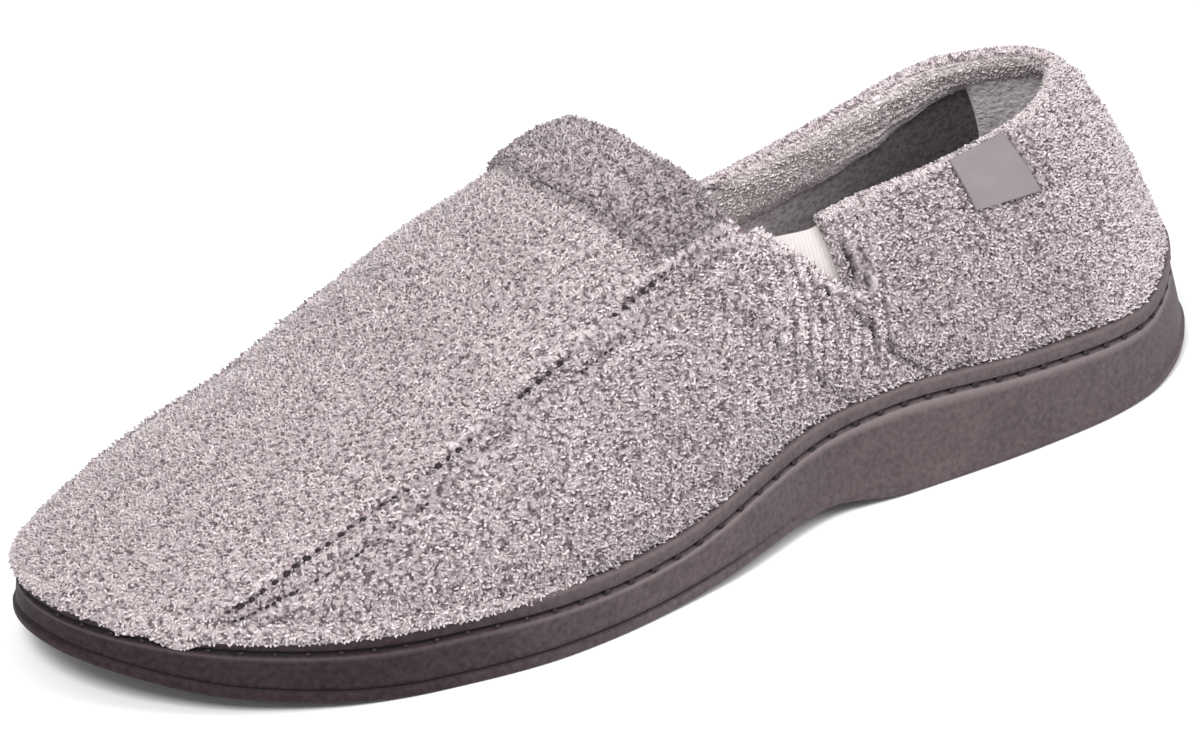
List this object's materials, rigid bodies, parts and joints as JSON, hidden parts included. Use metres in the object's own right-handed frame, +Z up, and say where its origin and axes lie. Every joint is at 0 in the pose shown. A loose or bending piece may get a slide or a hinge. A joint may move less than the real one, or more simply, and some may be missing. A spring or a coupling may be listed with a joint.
{
  "type": "moccasin slipper",
  "caption": "Closed-back moccasin slipper with a terry upper, raised apron seam, turned instep cuff, elastic gussets at the sides and a moulded sole.",
  "frame": {"origin": "middle of the footprint's bounding box, on the floor", "axes": "+X from heel to toe, +Y to the outer side of the foot, +Z up"},
  "size_m": [0.294, 0.1032, 0.082],
  "materials": {
    "outsole": "satin moulded rubber, warm dark taupe",
    "terry": "looped terry, warm pale grey over a darker ground",
    "elastic": "ribbed elastic, pale grey",
    "tab": "smooth woven ribbon, mid grey, blank"
  },
  "bodies": {
    "root": {"outsole": "outsole", "insole": "terry", "upper": "terry", "instep_cuff": "terry", "gusset_lateral": "elastic", "gusset_medial": "elastic", "label_tab": "tab"}
  },
  "joints": []
}
